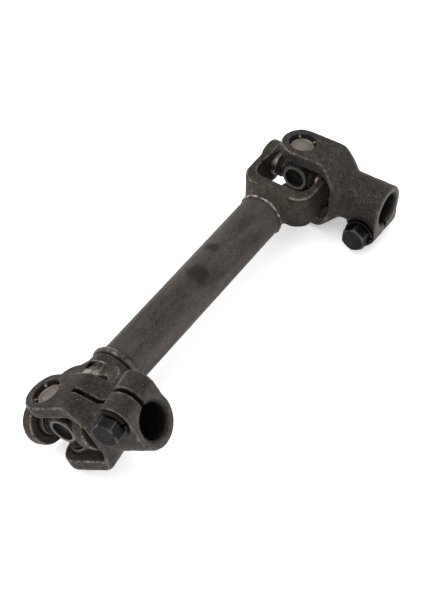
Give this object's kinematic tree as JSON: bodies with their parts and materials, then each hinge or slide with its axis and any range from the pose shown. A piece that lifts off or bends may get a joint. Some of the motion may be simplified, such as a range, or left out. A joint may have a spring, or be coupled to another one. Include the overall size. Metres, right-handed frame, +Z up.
{
  "type": "universal joint shaft",
  "caption": "Steering-type drive shaft: a tube with a folding Cardan joint at each end, each ending in a serrated split hub pinched by a clamp bolt.",
  "frame": {"origin": "middle of the footprint of the shaft as it lies, on the surface that it lies on", "axes": "+X runs along the tube from the near joint to the far joint, tipped by about half a degree; +Z is up from the surface that the shaft lies on; both hubs point towards -Y"},
  "size_m": [0.2734, 0.09, 0.0753],
  "materials": {
    "tube": "phosphate-grey drawn steel tube, satin with fine speckle and a few darker oily smudges",
    "tube_yoke": "forged steel, dark brownish-grey phosphate finish, bright along worn edges",
    "clamp_yoke": "forged steel, dark grey phosphate finish, bright along worn edges",
    "weld": "bright rippled weld bead with soot along its edge",
    "cross": "dark oiled forged steel with a brighter machined ring",
    "bearing_cap": "bright drawn steel, smooth",
    "needles": "polished bearing steel",
    "seal": "black nitrile rubber",
    "bolt": "black phosphate high-tensile bolt, lightly oiled",
    "washer": "brownish spring steel, slightly tarnished"
  },
  "bodies": {
    "shaft": {"shaft_tube": "tube", "near_tube_yoke": "tube_yoke", "near_weld_bead": "weld", "near_tube_bearing_1_cap": "bearing_cap", "near_tube_bearing_1_needles": "needles", "near_tube_bearing_2_cap": "bearing_cap", "near_tube_bearing_2_needles": "needles", "far_tube_yoke": "tube_yoke", "far_weld_bead": "weld", "far_tube_bearing_1_cap": "bearing_cap", "far_tube_bearing_1_needles": "needles", "far_tube_bearing_2_cap": "bearing_cap", "far_tube_bearing_2_needles": "needles"},
    "near_spider": {"near_cross": "cross", "near_tube_bearing_1_seal": "seal", "near_tube_bearing_2_seal": "seal", "near_clamp_bearing_1_seal": "seal", "near_clamp_bearing_2_seal": "seal"},
    "near_end_clamp": {"near_clamp_yoke": "clamp_yoke", "near_clamp_bolt": "bolt", "near_spring_washer": "washer", "near_clamp_bearing_1_cap": "bearing_cap", "near_clamp_bearing_1_needles": "needles", "near_clamp_bearing_2_cap": "bearing_cap", "near_clamp_bearing_2_needles": "needles"},
    "far_spider": {"far_cross": "cross", "far_tube_bearing_1_seal": "seal", "far_tube_bearing_2_seal": "seal", "far_clamp_bearing_1_seal": "seal", "far_clamp_bearing_2_seal": "seal"},
    "far_end_clamp": {"far_clamp_yoke": "clamp_yoke", "far_clamp_bolt": "bolt", "far_spring_washer": "washer", "far_clamp_bearing_1_cap": "bearing_cap", "far_clamp_bearing_1_needles": "needles", "far_clamp_bearing_2_cap": "bearing_cap", "far_clamp_bearing_2_needles": "needles"}
  },
  "joints": [
    {"name": "near_cross_tilt", "type": "hinge", "parent": "shaft", "child": "near_spider", "pos_m": [-0.11609, 0.01719, 0.02751], "axis": [0.0048, -0.8691, 0.4945], "range_deg": [-12, 2]},
    {"name": "near_clamp_fold", "type": "hinge", "parent": "near_spider", "child": "near_end_clamp", "pos_m": [-0.11609, 0.01719, 0.02751], "axis": [-0.0791, 0.4927, 0.8666], "range_deg": [-191, 1]},
    {"name": "far_cross_tilt", "type": "hinge", "parent": "shaft", "child": "far_spider", "pos_m": [0.1199, 0.01722, 0.02528], "axis": [0, -0.9999, -0.015], "range_deg": [-2.5, 11.5]},
    {"name": "far_clamp_fold", "type": "hinge", "parent": "far_spider", "child": "far_end_clamp", "pos_m": [0.1199, 0.01722, 0.02528], "axis": [0.0879, -0.015, 0.996], "range_deg": [-6.5, 185.5]}
  ]
}
